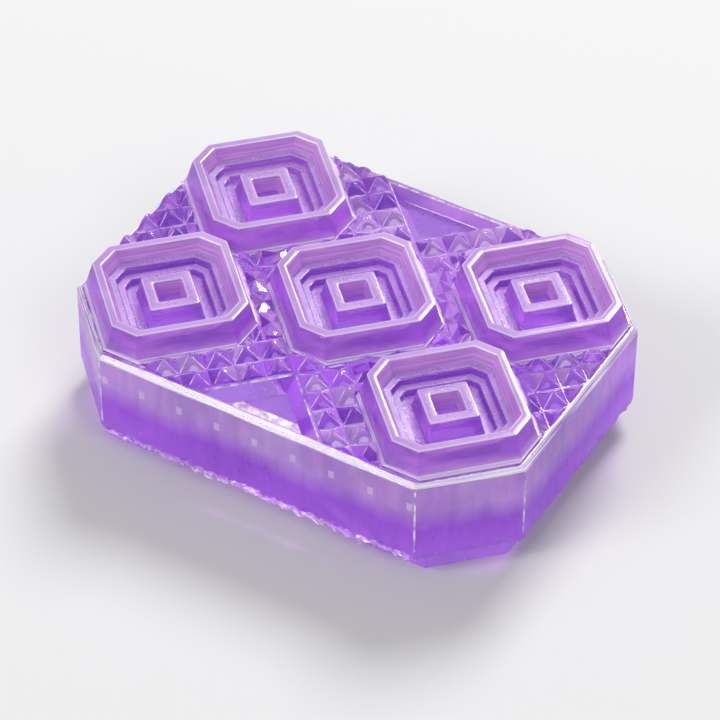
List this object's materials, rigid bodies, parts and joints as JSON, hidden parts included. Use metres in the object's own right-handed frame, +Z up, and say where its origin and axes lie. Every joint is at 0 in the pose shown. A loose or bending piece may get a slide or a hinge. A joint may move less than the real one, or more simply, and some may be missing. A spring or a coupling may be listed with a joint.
{
  "type": "soap mould",
  "caption": "Clear violet silicone soap mould: a hobnailed block with lift-out stepped square cavities and foot pads underneath.",
  "frame": {"origin": "on the surface the mould stands on, under the middle of the block", "axes": "+X along the block's length, +Y across it, +Z up out of the cavities"},
  "size_m": [0.105, 0.0786, 0.0316],
  "materials": {
    "block_silicone": "clear violet silicone, glossy where cast smooth",
    "insert_silicone": "clear violet silicone, glossy outside, satin on the ledges and walls inside",
    "foot_silicone": "hazy pale violet silicone, matt underneath"
  },
  "bodies": {
    "carrier": {"mould_block": "block_silicone", "foot_pad_centre": "foot_silicone", "foot_pad_front": "foot_silicone", "foot_pad_right": "foot_silicone", "foot_pad_rear": "foot_silicone", "foot_pad_left": "foot_silicone"},
    "insert_centre": {"cavity_insert_centre": "insert_silicone"},
    "insert_front": {"cavity_insert_front": "insert_silicone"},
    "insert_right": {"cavity_insert_right": "insert_silicone"},
    "insert_rear": {"cavity_insert_rear": "insert_silicone"},
    "insert_left": {"cavity_insert_left": "insert_silicone"}
  },
  "joints": [
    {"name": "lift_centre", "type": "slide", "parent": "carrier", "child": "insert_centre", "axis": [0, 0, 1], "range_m": [0, 0.012]},
    {"name": "lift_front", "type": "slide", "parent": "carrier", "child": "insert_front", "axis": [0, 0, 1], "range_m": [0, 0.012]},
    {"name": "lift_right", "type": "slide", "parent": "carrier", "child": "insert_right", "axis": [0, 0, 1], "range_m": [0, 0.012]},
    {"name": "lift_rear", "type": "slide", "parent": "carrier", "child": "insert_rear", "axis": [0, 0, 1], "range_m": [0, 0.012]},
    {"name": "lift_left", "type": "slide", "parent": "carrier", "child": "insert_left", "axis": [0, 0, 1], "range_m": [0, 0.012]}
  ]
}
